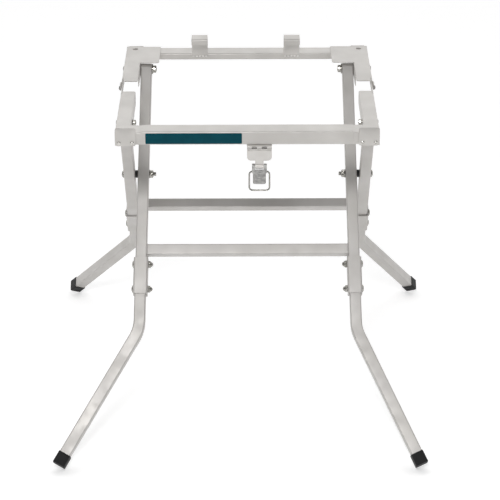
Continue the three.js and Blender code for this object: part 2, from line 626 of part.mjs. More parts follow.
// Plate across a corner of the top frame, with its two screws. It stands proud of the deck as a stop.
function stopPiece(way, outerX) {
  const { thickness, below, fromSide } = stopPlate;
  const { width, proud, corner } = way > 0 ? stopPlate.rear : stopPlate.front;
  const middle = outerX - fromSide - width / 2;
  const height = below + proud;
  const face = way > 0 ? rearCorner.face : frontCorner.face;
  const plate = alongY(roundedRectangle(width, height, corner), 0, thickness, 3)
    .translate(0, 0, deckHeight + proud - height / 2);
  const screws = [-1, 1].map((end) => {
    const profile = domeProfile(stopScrew.headRadius, stopScrew.headHeight, thickness - stopScrew.sunk);
    const head = new THREE.LatheGeometry(profile.map(([r, d]) => new THREE.Vector2(r, d)), 12);
    return head.translate((end * stopScrew.spacing) / 2, 0, deckHeight - below + stopScrew.fromBottom);
  });
  const piece = join(plate, ...screws).translate(middle, face + seamGap, 0);
  return way > 0 ? piece : piece.rotateZ(Math.PI).translate(2 * middle, 0, 0);
}

const mirrored = (geometry, side) => {
  if (side > 0) return geometry;
  const other = geometry.index ? geometry.toNonIndexed() : geometry.clone();
  other.scale(-1, 1, 1);
  const places = other.attributes.position.array;
  for (let i = 0; i < places.length; i += 9)
    for (let k = 0; k < 3; k++)
      [places[i + 3 + k], places[i + 6 + k]] = [places[i + 6 + k], places[i + 3 + k]];
  other.deleteAttribute("normal");
  other.computeVertexNormals();
  return other;
};

// Rivet of the middle pivot, closed on the rear bracket's tab. The real one also holds the front bracket's tab.
function middleRivet() {
  const { y, radius, headRadius, headHeight } = middlePivot;
  const inner = tabOuterX - sheet.thickness - seamGap;
  const head = revolveX(domeProfile(headRadius, headHeight, tabOuterX + seamGap), 1);
  const closed = barX(headRadius, inner - innerHead.height, inner);
  const shank = barX(radius - seamGap, inner - innerHead.height / 2, tabOuterX + seamGap + headHeight / 2);
  return join(shank, head, closed).translate(0, y, middlePivotZ);
}

for (const side of [-1, 1]) {
  const hand = side < 0 ? "left" : "right";
  addPiece(stand, `rear_bracket_${hand}`, mirrored(rearBracket(hand), side), greyPaint());
  addPiece(stand, `front_bracket_${hand}`, mirrored(frontBracket(), side), greyPaint());
  addPiece(stand, `rear_stop_${hand}`, mirrored(stopPiece(1, rearOuterX), side), greyPaint());
  addPiece(stand, `front_stop_${hand}`, mirrored(stopPiece(-1, frontOuterX), side), greyPaint());
  addPiece(stand, `middle_rivet_${hand}`, mirrored(middleRivet(), side), darkZinc());
}
addPiece(stand, "rear_hook_left", hookPiece(hook.leftX), greyPaint());
addPiece(stand, "rear_hook_right", hookPiece(hook.rightX), greyPaint());
addPiece(stand, "rear_rail", railBar(1, rearInnerX - seamGap), greyPaint());
addPiece(stand, "front_rail", railBar(-1, frontSeamX - seamGap), greyPaint());

// Latch: a leaf fixed inside the rail, a flap on a pin, and a ridged lever with a wire bail that catches the saw
const latchY = -railFace - latch.pinBehind;
const latchPinZ = deckHeight - latch.pinDrop;
const leverPinZ = latchPinZ - flap.ringDrop;

// Shares of the latch's width that the knuckles of one part take, every second one
function knuckles(parity) {
  const pitch = latch.width / knuckle.count;
  const places = [];
  for (let i = parity; i < knuckle.count; i += 2) {
    const left = i * pitch - latch.width / 2;
    places.push([left + knuckle.gap / 2, left + pitch - knuckle.gap / 2]);
  }
  return places;
}

const ring = (radius, [from, to]) => barX(radius, from, to, knuckle.sides);
const pinBore = () => barX(knuckle.pinRadius + knuckle.pinPlay, -latch.width, latch.width);

// Room for the knuckles of the other part, in a plate that runs up or down from the pin
const knuckleSlots = (parity) =>
  knuckles(parity).map(([from, to]) => {
    const reach = knuckle.radius + knuckle.gap;
    return block(from - knuckle.gap, to + knuckle.gap, -reach, reach, -reach, reach);
  });

function fixedLeafPiece() {
  const { thickness: t, width } = latch;
  // the leaf lies on the inner face of the rail's flange and steps out to the pin below it
  const front = rail.thickness + latch.pinBehind + fixedLeaf.behind; // about the pin, as drawn
  const start = -knuckle.radius;
  const view = new THREE.Shape(); // in (Y, Z) about the pin
  view.moveTo(start, 0);
  view.lineTo(start, knuckle.radius);
  view.lineTo(start + t, knuckle.radius + t);
  view.lineTo(front, knuckle.radius + t);
  view.lineTo(front, fixedLeaf.height);
  view.lineTo(front + t, fixedLeaf.height);
  view.lineTo(front + t, knuckle.radius);
  view.lineTo(start + t, knuckle.radius);
  view.lineTo(start + t, 0);
  const strap = alongX(view, -width / 2, width / 2);
  const rings = knuckles(0).map((place) => ring(knuckle.radius, place));
  return cut(join(cut(strap, ...knuckleSlots(1)), ...rings), pinBore()).translate(latch.centreX, latchY, latchPinZ);
}

function flapPiece() {
  const half = latch.width / 2;
  const neck = flap.neckWidth / 2;
  const view = new THREE.Shape(); // front view of the plate, about the pin
  view.moveTo(-half, 0);
  view.lineTo(half, 0);
  view.lineTo(half, -flap.height + flap.corner);
  view.absarc(half - flap.corner, -flap.height + flap.corner, flap.corner, 0, -Math.PI / 2, true);
  view.lineTo(neck, -flap.height);
  view.lineTo(neck, -flap.ringDrop);
  view.lineTo(-neck, -flap.ringDrop);
  view.lineTo(-neck, -flap.height);
  view.lineTo(-half + flap.corner, -flap.height);
  view.absarc(-half + flap.corner, -flap.height + flap.corner, flap.corner, -Math.PI / 2, Math.PI, true);
  const plate = alongY(view, -latch.thickness / 2, latch.thickness / 2, 4);
  const rings = knuckles(1).map((place) => ring(knuckle.radius, place));
  const curl = ring(flap.ringRadius, [-neck, neck]).translate(0, 0, -flap.ringDrop);
  const bores = [pinBore(), pinBore().translate(0, 0, -flap.ringDrop)];
  return cut(join(cut(plate, ...knuckleSlots(0)), ...rings, curl), ...bores).translate(latch.centreX, latchY, latchPinZ);
}

const earFrom = flap.neckWidth / 2 + knuckle.gap;

// Ridged pad with an ear at each side of the flap's curl, and a cradle across its back for the top wire of the bail
function leverPiece() {
  const { width, length, thickness: t, earWidth, earRadius, ridges, ridgeDepth, corner } = lever;
  const padTop = flap.ringRadius + knuckle.gap + lever.ridgeDepth;
  const front = -earRadius;
  const pad = alongY(roundedRectangle(width, length - padTop, corner), front, front + t, 4)
    .translate(0, 0, -(length + padTop) / 2);
  const ears = [-1, 1].map((end) => {
    const [from, to] = [end * earFrom, end * (earFrom + earWidth)].sort((a, b) => a - b);
    const strap = block(from, to, front, front + t, -padTop - 2 * corner, 0);
    return join(ring(earRadius, [from, to]), strap);
  });
  const cradle = barX(bail.wire + bail.play + bail.cradle, -width / 2, width / 2, knuckle.sides)
    .translate(0, 0, -bail.fromPin);
  const bridge = block(-width / 2, width / 2, front + t / 2, 0, -bail.fromPin - bail.wire, -bail.fromPin + bail.wire);
  const pitch = (length - padTop - 2 * corner) / ridges;
  const grooves = Array.from({ length: ridges }, (_, i) =>
    barX(pitch / 4, -width, width, 6).translate(0, front + ridgeDepth - pitch / 4, -padTop - corner - (i + 0.5) * pitch),
  );
  const bailBore = barX(bail.wire + bail.play, -width, width).translate(0, 0, -bail.fromPin);
  return cut(join(pad, ...ears, cradle, bridge), ...grooves, pinBore(), bailBore)
    .translate(latch.centreX, latchY, leverPinZ);
}

// Quarter turn of wire in the XZ plane, running clockwise, with a little over at each end so that it joins
class CornerPath extends THREE.Curve {
  constructor(x, z, radius, start, over) {
    super();
    Object.assign(this, { x, z, radius, from: start, over });
  }
  getPoint(t, target = new THREE.Vector3()) {
    const turn = this.from + Math.PI / 2 + this.over - t * (Math.PI / 2 + 2 * this.over);
    return target.set(this.x + this.radius * Math.cos(turn), 0, this.z + this.radius * Math.sin(turn));
  }
}

// Closed wire loop. Its top bar turns in the lever.
function bailPiece() {
  const { wire, width, length, corner: r, overlap } = bail;
  const w = width / 2;
  const line = (x0, z0, x1, z1) =>
    new THREE.LineCurve3(new THREE.Vector3(x0, 0, z0), new THREE.Vector3(x1, 0, z1));
  const sides = [
    line(-w + r, 0, w - r, 0),
    line(w, -r, w, -length + r),
    line(w - r, -length, -w + r, -length),
    line(-w, -length + r, -w, -r),
  ];
  const section = new THREE.Shape().absarc(0, 0, wire, 0, 2 * Math.PI);
  const straights = sides.map((path) =>
    new THREE.ExtrudeGeometry(section, { steps: 1, extrudePath: path, curveSegments: 4 }),
  );
  const turns = [[w - r, -r], [w - r, -length + r], [-w + r, -length + r], [-w + r, -r]];
  const elbows = turns.map(([x, z], quarter) => {
    const path = new CornerPath(x, z, r, (-quarter * Math.PI) / 2, overlap / r);
    return new THREE.ExtrudeGeometry(section, { steps: 4, extrudePath: path, curveSegments: 4 });
  });
  return join(...straights, ...elbows).translate(latch.centreX, latchY, leverPinZ - bail.fromPin);
}

function latchPin(half, z) {
  return barX(knuckle.pinRadius, latch.centreX - half, latch.centreX + half, knuckle.sides).translate(0, latchY, z);
}

addPiece(stand, "latch_fixed_leaf", fixedLeafPiece(), greyPaint());
addPiece(stand, "latch_flap", flapPiece(), greyPaint());
addPiece(stand, "latch_hinge_pin", latchPin(latch.width / 2, latchPinZ), zinc());
addPiece(stand, "latch_lever", leverPiece(), darkZinc());
addPiece(stand, "latch_lever_pin", latchPin(earFrom + lever.earWidth, leverPinZ), zinc());
addPiece(stand, "latch_bail", bailPiece(), zinc());

// Reach of a foot's outermost edge from the centre plane. The stand is set so that both sides reach equally far.
function footReach(legX, bend) {
  const turn = bend + legSplay;
  const pastBend = lowerLeg.bendRadius * Math.tan(bend / 2) + lowerLegTail(bend) + foot.sole;
  const along = lowerLeg.bendFromPivot * Math.sin(legSplay) + pastBend * Math.sin(turn);
  return legX + along + (tubeHalf + foot.wall) * Math.cos(turn);
}

const widest = (hand) =>
  Math.max(footReach(innerLegX, lowerLeg.frontBend[hand]), footReach(outerLegX, lowerLeg.rearBend[hand]));
stand.position.x = (widest("left") - widest("right")) / 2;
export default stand;
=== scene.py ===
# Folding stand for a jobsite table saw, dressed for a plain studio picture. Blender 4.5, metres, +Z up.
# Sizes in the dictionaries are millimetres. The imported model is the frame, and every new piece rides on its
# bodies.
import json
import math

import bmesh
import bpy
import numpy as np
from mathutils import Matrix, Vector


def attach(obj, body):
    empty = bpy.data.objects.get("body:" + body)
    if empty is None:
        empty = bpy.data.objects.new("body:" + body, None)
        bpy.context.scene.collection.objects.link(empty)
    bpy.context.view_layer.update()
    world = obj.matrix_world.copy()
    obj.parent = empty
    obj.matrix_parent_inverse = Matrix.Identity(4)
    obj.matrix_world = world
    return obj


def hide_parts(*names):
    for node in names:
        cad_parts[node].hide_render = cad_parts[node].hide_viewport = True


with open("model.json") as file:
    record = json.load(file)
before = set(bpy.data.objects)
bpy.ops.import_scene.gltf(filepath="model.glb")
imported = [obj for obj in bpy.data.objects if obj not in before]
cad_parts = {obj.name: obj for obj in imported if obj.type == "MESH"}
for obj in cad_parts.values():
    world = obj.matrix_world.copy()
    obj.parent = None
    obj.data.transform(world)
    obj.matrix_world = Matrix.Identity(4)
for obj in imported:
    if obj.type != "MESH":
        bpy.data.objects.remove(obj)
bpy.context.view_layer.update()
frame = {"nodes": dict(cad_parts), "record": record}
nodes = frame["nodes"]
scene = bpy.context.scene
metre = 0.001  # one millimetre
bodyOfNode = {node: body for body, names in frame["record"]["behaviour"]["bodies"].items() for node in names}
print("frame loaded:", len(nodes), "nodes")

# Where the stand's parts sit, as in its drawing
stand = {
    "middle": 8.98,  # X of the middle plane between the top frame's sides
    "scissorHeight": 427.9,
    "legAngle": math.radians(41.22),
    "legSplay": math.radians(0.84),
    "innerLegX": 195.7,
    "outerLegX": 222.0,
    "topPivotY": 139.3,
    "topPivotZ": 586.9,
}


# Small helpers: colours, nodes, materials

def linear(hexText):
    # sRGB hex to linear light: the lower part is a straight line, the rest a power of 2.4
    value = np.array([int(hexText[i:i + 2], 16) for i in (1, 3, 5)]) / 255
    light = np.where(value <= 0.04045, value / 12.92, ((value + 0.055) / 1.055) ** 2.4)
    return (*light.tolist(), 1.0)


def addNode(tree, kind, inputs=None, **settings):
    # one node: settings are its own properties, inputs are values or other nodes' sockets
    node = tree.nodes.new(kind)
    for name, value in settings.items():
        setattr(node, name, value)
    for name, value in (inputs or {}).items():
        if isinstance(value, bpy.types.NodeSocket):
            tree.links.new(value, node.inputs[name])
        else:
            node.inputs[name].default_value = value
    return node


def newMaterial(name, **surface):
    # a material with its shader, whose plain values are set on the shader itself
    material = bpy.data.materials.new(name)
    material.use_nodes = True
    tree = material.node_tree
    shader = tree.nodes["Principled BSDF"]
    for socket, value in surface.items():
        shader.inputs[socket.replace("_", " ")].default_value = value
    return material, tree, shader


def noise(tree, place, size, detail=2.0, contrast=(0.35, 0.65)):
    # soft noise with features of a given size in millimetres, stretched to run from 0 to 1
    scale = 1 / (size * metre)
    raw = addNode(tree, "ShaderNodeTexNoise", {"Vector": place, "Scale": scale, "Detail": detail})
    return addNode(tree, "ShaderNodeMapRange", {
        "Value": raw.outputs["Fac"], "From Min": contrast[0], "From Max": contrast[1],
    }).outputs["Result"]


colourSockets = {"first": 6, "second": 7, "result": 2}  # where a Mix node keeps its colours


def blendColours(tree, factor, first, second):
    # from the first colour to the second; each is a hex text or another node's socket
    mix = addNode(tree, "ShaderNodeMix", {"Factor": factor}, data_type="RGBA")
    for place, colour in (("first", first), ("second", second)):
        socket = mix.inputs[colourSockets[place]]
        if isinstance(colour, bpy.types.NodeSocket):
            tree.links.new(colour, socket)
        else:
            socket.default_value = linear(colour)
    return mix.outputs[colourSockets["result"]]


def between(tree, factor, low, high):
    # a share from 0 to 1, stretched to run from the low value to the high one
    stretch = addNode(tree, "ShaderNodeMapRange", {"Value": factor, "To Min": low, "To Max": high})
    return stretch.outputs["Result"]


edgeLean = {"starts": 0.995, "full": 0.86, "samples": 6}  # cosines of the lean of an edge's rounded normal


def edgeWearAndHighlight(tree, radius):
    # how far the rounded normal leans from the true one: 0 on flats, rising at edges and corners
    bevel = addNode(tree, "ShaderNodeBevel", {"Radius": radius * metre}, samples=edgeLean["samples"])
    rounded = bevel.outputs["Normal"]
    true = addNode(tree, "ShaderNodeNewGeometry").outputs["Normal"]
    lean = addNode(tree, "ShaderNodeVectorMath", {0: rounded, 1: true}, operation="DOT_PRODUCT")
    edge = addNode(tree, "ShaderNodeMapRange", {
        "Value": lean.outputs["Value"], "From Min": edgeLean["starts"], "From Max": edgeLean["full"],
    })
    return edge.outputs["Result"], rounded


def coatedSteel(name, look):
    # Powder-coated mild steel, sprayed and baked: an even silver-grey skin with a soft sheen and a fine
    # orange peel. It pulls thin along sharp edges, where it looks a little brighter.
    material, tree, shader = newMaterial(
        name, Metallic=look["metallic"], Coat_Weight=look["coat"], Coat_Roughness=look["coatRoughness"],
    )
    place = addNode(tree, "ShaderNodeTexCoord").outputs["Object"]
    edge, rounded = edgeWearAndHighlight(tree, look["edgeRadius"])
    drift = blendColours(tree, noise(tree, place, look["driftSize"]), look["colour"], look["shade"])
    colour = blendColours(tree, between(tree, edge, 0.0, look["edgeShare"]), drift, look["edge"])
    peel = noise(tree, place, look["peelSize"], detail=3.0, contrast=(0.3, 0.7))
    rough = noise(tree, place, look["sheenSize"])
    bump = addNode(tree, "ShaderNodeBump", {
        "Height": peel, "Strength": look["peelStrength"], "Distance": look["peelDepth"] * metre,
        "Normal": rounded,
    })
    tree.links.new(colour, shader.inputs["Base Color"])
    tree.links.new(between(tree, rough, *look["roughness"]), shader.inputs["Roughness"])
    tree.links.new(bump.outputs["Normal"], shader.inputs["Normal"])
    return material


plating = {"edgeShare": 0.5, "grainStrength": 0.25}


def platedSteel(name, look):
    # Zinc-plated steel, barrel-plated after turning or stamping: a cool bright metal with cloudy patches and
    # a faint grain, made lighter along edges and corners as a painted highlight
    material, tree, shader = newMaterial(name, Metallic=1.0)
    place = addNode(tree, "ShaderNodeTexCoord").outputs["Object"]
    edge, rounded = edgeWearAndHighlight(tree, look["edgeRadius"])
    clouds = noise(tree, place, look["cloudSize"], detail=4.0)
    colour = blendColours(tree, clouds, look["colour"], look["shade"])
    # lighter along edges and corners: a painted highlight
    colour = blendColours(tree, between(tree, edge, 0.0, plating["edgeShare"]), colour, look["edge"])
    grain = noise(tree, place, look["grainSize"], detail=3.0)
    bump = addNode(tree, "ShaderNodeBump", {
        "Height": grain, "Strength": plating["grainStrength"], "Distance": look["grainDepth"] * metre,
        "Normal": rounded,
    })
    tree.links.new(colour, shader.inputs["Base Color"])
    tree.links.new(between(tree, clouds, *look["roughness"]), shader.inputs["Roughness"])
    tree.links.new(bump.outputs["Normal"], shader.inputs["Normal"])
    return material


moulding = {"scuffShare": 0.6, "edgeShare": 0.7, "grainStrength": 0.4}


def mouldedBlack(name, look):
    # Moulded black rubber or plastic: almost no colour, a matt skin with a fine leathery grain, greyer where
    # it rubs
    material, tree, shader = newMaterial(name, Specular_IOR_Level=look["specular"])
    place = addNode(tree, "ShaderNodeTexCoord").outputs["Object"]
    edge, rounded = edgeWearAndHighlight(tree, look["edgeRadius"])
    scuffs = noise(tree, place, look["scuffSize"], detail=5.0, contrast=(0.45, 0.75))
    rubbed = between(tree, scuffs, 0.0, moulding["scuffShare"])
    colour = blendColours(tree, rubbed, look["colour"], look["scuff"])
    colour = blendColours(tree, between(tree, edge, 0.0, moulding["edgeShare"]), colour, look["edge"])
    grain = noise(tree, place, look["grainSize"])
    bump = addNode(tree, "ShaderNodeBump", {
        "Height": grain, "Strength": moulding["grainStrength"], "Distance": look["grainDepth"] * metre,
        "Normal": rounded,
    })
    tree.links.new(colour, shader.inputs["Base Color"])
    tree.links.new(between(tree, scuffs, *look["roughness"]), shader.inputs["Roughness"])
    tree.links.new(bump.outputs["Normal"], shader.inputs["Normal"])
    return material


coatLook = {
    "colour": "#c9c6c3", "shade": "#c1beba", "edge": "#dad7d4", "edgeShare": 0.5, "metallic": 0.5,
    "coat": 0.06, "coatRoughness": 0.35, "roughness": (0.4, 0.5), "edgeRadius": 0.6, "driftSize": 70,
    "sheenSize": 24, "peelSize": 1.6, "peelStrength": 0.12, "peelDepth": 0.12,
}
finishes = {
    "painted_tube": coatedSteel("powderCoatedTube", coatLook),
    "painted_sheet": coatedSteel("powderCoatedSheet", {**coatLook, "colour": "#cdcac6", "shade": "#c5c2be"}),
    "latch_sheet": coatedSteel("powderCoatedLatch", {
        **coatLook, "colour": "#dad7d3", "shade": "#d0cdc9", "sheenSize": 9,
    }),
    # in the plated looks, the edge colour is a painted highlight along edges and corners
    "zinc_hardware": platedSteel("zincPlatedHardware", {
        "colour": "#b3b1ac", "shade": "#86847e", "edge": "#e6e4df", "roughness": (0.16, 0.3),
        "edgeRadius": 0.35, "cloudSize": 5, "grainSize": 0.5, "grainDepth": 0.03,
    }),
    "zinc_wire": platedSteel("zincPlatedWire", {
        "colour": "#a3a19c", "shade": "#84827d", "edge": "#c6c4bf", "roughness": (0.16, 0.28),
        "edgeRadius": 0.3, "cloudSize": 7, "grainSize": 0.6, "grainDepth": 0.02,
    }),
    "dark_rivet": platedSteel("phosphatedRivet", {
        "colour": "#8b8a87", "shade": "#6d6c6a", "edge": "#aaa9a5", "roughness": (0.32, 0.5),
        "edgeRadius": 0.3, "cloudSize": 2.5, "grainSize": 0.5, "grainDepth": 0.03,
    }),
    "ridged_lever": platedSteel("castZincLever", {
        "colour": "#adacaa", "shade": "#949392", "edge": "#d0cfcc", "roughness": (0.34, 0.5),
        "edgeRadius": 0.4, "cloudSize": 6, "grainSize": 0.7, "grainDepth": 0.05,
    }),
    "black_spacer": mouldedBlack("mouldedNylonSpacer", {
        "colour": "#141415", "scuff": "#232324", "edge": "#303031", "specular": 0.5,
        "roughness": (0.42, 0.58), "edgeRadius": 0.4, "scuffSize": 5, "grainSize": 0.6, "grainDepth": 0.03,
    }),
    "rubber_foot": mouldedBlack("mouldedRubberFoot", {
        "colour": "#121213", "scuff": "#262627", "edge": "#2c2c2d", "specular": 0.35,
        "roughness": (0.62, 0.82), "edgeRadius": 0.6, "scuffSize": 9, "grainSize": 0.9, "grainDepth": 0.08,
    }),
}
# bright zinc for the stop screws; its edge colour is also a painted highlight
brightZinc = platedSteel("brightZincPlate", {
    "colour": "#dcdad6", "shade": "#c3c1bc", "edge": "#f0eeea", "roughness": (0.2, 0.34), "edgeRadius": 0.3,
    "cloudSize": 3, "grainSize": 0.5, "grainDepth": 0.03,
})
print("materials made:", len(finishes) + 1)


# Surfaces: each is a grid of points, worked out as whole arrays

def gridFaces(rows, columns, wrapRows, wrapColumns, start):
    # quads between neighbouring rows and columns, wrapping round where asked
    rowSteps = rows if wrapRows else rows - 1
    columnSteps = columns if wrapColumns else columns - 1
    i, j = np.meshgrid(np.arange(rowSteps), np.arange(columnSteps), indexing="ij")
    nextI, nextJ = (i + 1) % rows, (j + 1) % columns
    corners = (i * columns + j, i * columns + nextJ, nextI * columns + nextJ, nextI * columns + j)
    return np.stack(corners, axis=-1).reshape(-1, 4) + start


mergeDistance = 1e-6  # metres


def makePiece(name, surfaces, slot, body, replaced=(), sharp=35.0):
    # surfaces are (points, wrapRows, wrapColumns) in millimetres; poles and seams are merged shut
    points, faces, start = [], [], 0
    for grid, wrapRows, wrapColumns in surfaces:
        rows, columns = grid.shape[:2]
        faces.append(gridFaces(rows, columns, wrapRows, wrapColumns, start))
        points.append(grid.reshape(-1, 3))
        start += rows * columns
    mesh = bpy.data.meshes.new(name)
    mesh.from_pydata((np.concatenate(points) * metre).tolist(), [], np.concatenate(faces).tolist())
    return finishPiece(name, mesh, slot, body, replaced, sharp)


def finishPiece(name, mesh, slot, body, replaced, sharp):
    # closed and outward mesh with smooth rounds, its finish, and the body it rides on
    shell = bmesh.new()
    shell.from_mesh(mesh)
    bmesh.ops.remove_doubles(shell, verts=shell.verts, dist=mergeDistance)
    bmesh.ops.recalc_face_normals(shell, faces=shell.faces)
    shell.to_mesh(mesh)
    shell.free()
    mesh.shade_smooth()
    mesh.set_sharp_from_angle(angle=math.radians(sharp))
    mesh.materials.append(finishes[slot])
    piece = bpy.data.objects.new(name, mesh)
    scene.collection.objects.link(piece)
    if replaced:
        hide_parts(*replaced)
    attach(piece, body)
    return piece


def pieceName(node):
    # latch_hinge_pin gives latchHingePin
    name = node.title().replace("_", "")
    return name[0].lower() + name[1:]


def pieceFor(node, surfaces, slot):
    # a piece that stands for one CAD node: named after it, and on the same body
    return makePiece(pieceName(node), surfaces, slot, bodyOfNode[node], [node])


def placed(surface, matrix):
    # the same surface, carried by a matrix
    grid, wrapRows, wrapColumns = surface
    turn = np.array(matrix)
    return grid @ turn[:3, :3].T + turn[:3, 3], wrapRows, wrapColumns


def turned(profile, sides=48, shape=None, closedProfile=False):
    # Turned form about the X axis: each profile point (distance along X, radius) goes round in a circle.
    # Where a shape is given, it changes the radius by the angle and the distance, as on a hexagon or a thread.
    along, radius = np.array(profile, float).T
    angle = np.arange(sides) * (2 * np.pi / sides)
    along = np.repeat(along[:, None], sides, axis=1)
    reach = np.repeat(radius[:, None], sides, axis=1)
    if shape:
        reach = shape(along, reach, angle[None, :])
    grid = np.stack([along, reach * np.cos(angle), reach * np.sin(angle)], axis=-1)
    return grid, closedProfile, True


def swept(path, section, closedPath=False):
    # Section of points (across, up) carried along a path in a plane: at each step it stands square to the
    # path, with its up direction held along the plane's normal
    path = np.array(path, float)
    if closedPath:
        along = np.roll(path, -1, axis=0) - np.roll(path, 1, axis=0)
    else:
        along = np.gradient(path, axis=0)
    along /= np.linalg.norm(along, axis=1, keepdims=True)
    normal = np.array(section["normal"], float)
    across = np.cross(along, normal)
    shape = np.array(section["points"], float)
    scale = np.array(section.get("scale", np.ones(len(path))))[:, None, None]
    grid = path[:, None] + scale * (shape[None, :, :1] * across[:, None] + shape[None, :, 1:] * normal)
    return grid, closedPath, True


def ellipseArc(start, height, radius, steps=10):
    # quarter of an ellipse: from the rim at the start to the pole, a height further on
    turn = np.linspace(0, np.pi / 2, steps)
    return np.stack([start + height * np.sin(turn), radius * np.cos(turn)], axis=1)


flatShare = math.cos(math.pi / 6)  # a hexagon's half width across its flats, over its corner radius


def hexagonReach(cornerRadius, angle):
    # a hexagon's radius: its flats' half width over the cosine of the angle to the middle of the nearest flat
    within = np.mod(angle, np.pi / 3) - np.pi / 6
    return cornerRadius * flatShare / np.cos(within)


def hexagon(start, end, cornerRadius, shankShare=0.8):
    # between two distances the radius stays within a hexagon, apart from a bore or shank well inside it
    slack = 1e-6

    def shape(along, reach, angle):
        outer = reach > cornerRadius * flatShare * shankShare
        inside = (along >= start - slack) & (along <= end + slack) & outer
        return np.where(inside, np.minimum(reach, hexagonReach(cornerRadius, angle)), reach)

    return shape


def thread(start, end, pitch, depth, poleRadius=0.4):
    # helical groove: the radius falls by a triangle wave of the distance along less the share of a turn,
    # fading out within a pitch of both ends
    def shape(along, reach, angle):
        phase = np.mod(along / pitch - angle / (2 * np.pi), 1.0)
        groove = depth * (1 - np.abs(2 * phase - 1))
        fade = np.clip(np.minimum(along - start, end - along) / pitch, 0, 1)
        return np.where(reach > poleRadius, reach - groove * fade, reach)

    return shape


def legMatrix(inner, side):
    # a leg's own axes in the world: splayed to its side, then leant, then lifted to the scissor pivot
    lean = -stand["legAngle"] if inner else stand["legAngle"]
    legX = stand["innerLegX"] if inner else stand["outerLegX"]
    return (
        Matrix.Translation((stand["middle"], 0, stand["scissorHeight"]))
        @ Matrix.Rotation(lean, 4, "X")
        @ Matrix.Translation((side * legX, 0, 0))
        @ Matrix.Rotation(-side * stand["legSplay"], 4, "Y")
    )


def outwards(side):
    # half a turn about Z, for a form drawn facing the positive side that belongs on the other
    return Matrix.Identity(4) if side > 0 else Matrix.Rotation(math.pi, 4, "Z")


hands = (("left", -1), ("right", 1))

# Carriage bolts with acorn nuts through the leg sleeves
carriageBolt = {
    "sleeveHalf": 13.3, "shank": 3.0, "headRadius": 7.2, "headHeight": 3.6, "nutRadius": 6.8,
    "hexHeight": 4.75, "domeRadius": 5.44, "domeStart": 1.9, "domeHeight": 7.6, "chamfer": 0.8,
    "places": (-177.5, -224.8), "faceInset": 0.1, "seatRise": 0.25, "seatInset": 0.3, "rimRise": 0.2,
    "rimInset": 0.25, "crownRise": 0.45, "domeSteps": 12, "sides": 48,
}


def carriageBoltSurface(size):
    # along the axis, from the tip of the nut: dome, chamfered hexagon, shank, flat seat and domed head
    half = size["sleeveHalf"]
    hexEnd = -half - size["hexHeight"]
    share = np.linspace(1, (size["hexHeight"] - size["domeStart"]) / size["domeHeight"], size["domeSteps"])
    domeX = -half - size["domeStart"] - size["domeHeight"] * share
    domeR = size["domeRadius"] * np.sqrt(np.clip(1 - share ** 2, 0, 1))
    dome = np.stack([domeX, domeR], axis=1)
    flat = size["nutRadius"] * flatShare
    body = [
        (hexEnd, flat - size["faceInset"]), (hexEnd + size["chamfer"], size["nutRadius"]),
        (-half - size["seatRise"], size["nutRadius"]), (-half, size["nutRadius"] - size["seatInset"]),
        (-half, size["shank"]), (half, size["shank"]),
        (half, size["headRadius"] - size["rimInset"]), (half + size["rimRise"], size["headRadius"]),
    ]
    rise = size["crownRise"]
    head = ellipseArc(half + rise, size["headHeight"] - rise, size["headRadius"], size["domeSteps"])
    nut = hexagon(hexEnd, -half, size["nutRadius"])
    return turned(np.concatenate([dome, body, head]), size["sides"], nut)


for kind, inner in (("inner", True), ("outer", False)):
    for hand, side in hands:
        for number, place in enumerate(carriageBolt["places"], 1):
            node = f"{kind}_sleeve_bolt_{hand}_{number}"
            spot = legMatrix(inner, side) @ Matrix.Translation((0, 0, place)) @ outwards(side)
            pieceFor(node, [placed(carriageBoltSurface(carriageBolt), spot)], "zinc_hardware")
print("sleeve bolts made")

# Pivot bolts, each with its washer and nut, and the spacers between the legs
pivots = {
    "scissor": {
        "y": 0, "z": stand["scissorHeight"], "headSeat": 232.95, "nutSeat": 184.75, "radius": 4.0,
        "headRadius": 7.2, "headHeight": 4.2, "nutRadius": 7.4, "nutHeight": 6.0, "washerRadius": 8.2,
        "washerHeight": 1.6, "spare": 5.0,
    },
    "rear_pivot": {
        "y": stand["topPivotY"], "z": stand["topPivotZ"], "headSeat": 234.3, "nutSeat": 181.65, "radius": 3.8,
        "headRadius": 7.0, "headHeight": 3.6, "nutRadius": 7.0, "nutHeight": 6.0, "washerRadius": 9.6,
        "washerHeight": 2.0, "spare": 0.6,
    },
    "front_pivot": {
        "y": -stand["topPivotY"], "z": stand["topPivotZ"], "headSeat": 232.5, "nutSeat": 205.2, "radius": 3.0,
        "headRadius": 5.0, "headHeight": 2.6, "nutRadius": 5.4, "nutHeight": 5.0, "washerRadius": 6.0,
        "washerHeight": 1.2, "spare": 0.6,
    },
}
boltForm = {"rim": 0.2, "crownRise": 0.5, "domeSteps": 14, "sides": 48}
nutForm = {
    "play": 0.25, "boreChamfer": 0.5, "faceInset": 0.1, "chamfer": 0.9, "seatRise": 0.5, "seatInset": 0.3,
    "washerEdge": 0.25, "sides": 60,
}
threadForm = {"pitch": 1.25, "depth": 0.5, "run": 22.0, "tipChamfer": 0.8, "stepsPerPitch": 8}
spacer = {
    "from": 206.45, "to": 211.25, "radius": 7.2, "bore": 4.5, "edge": 0.6, "roundShare": 0.3, "sides": 60,
}


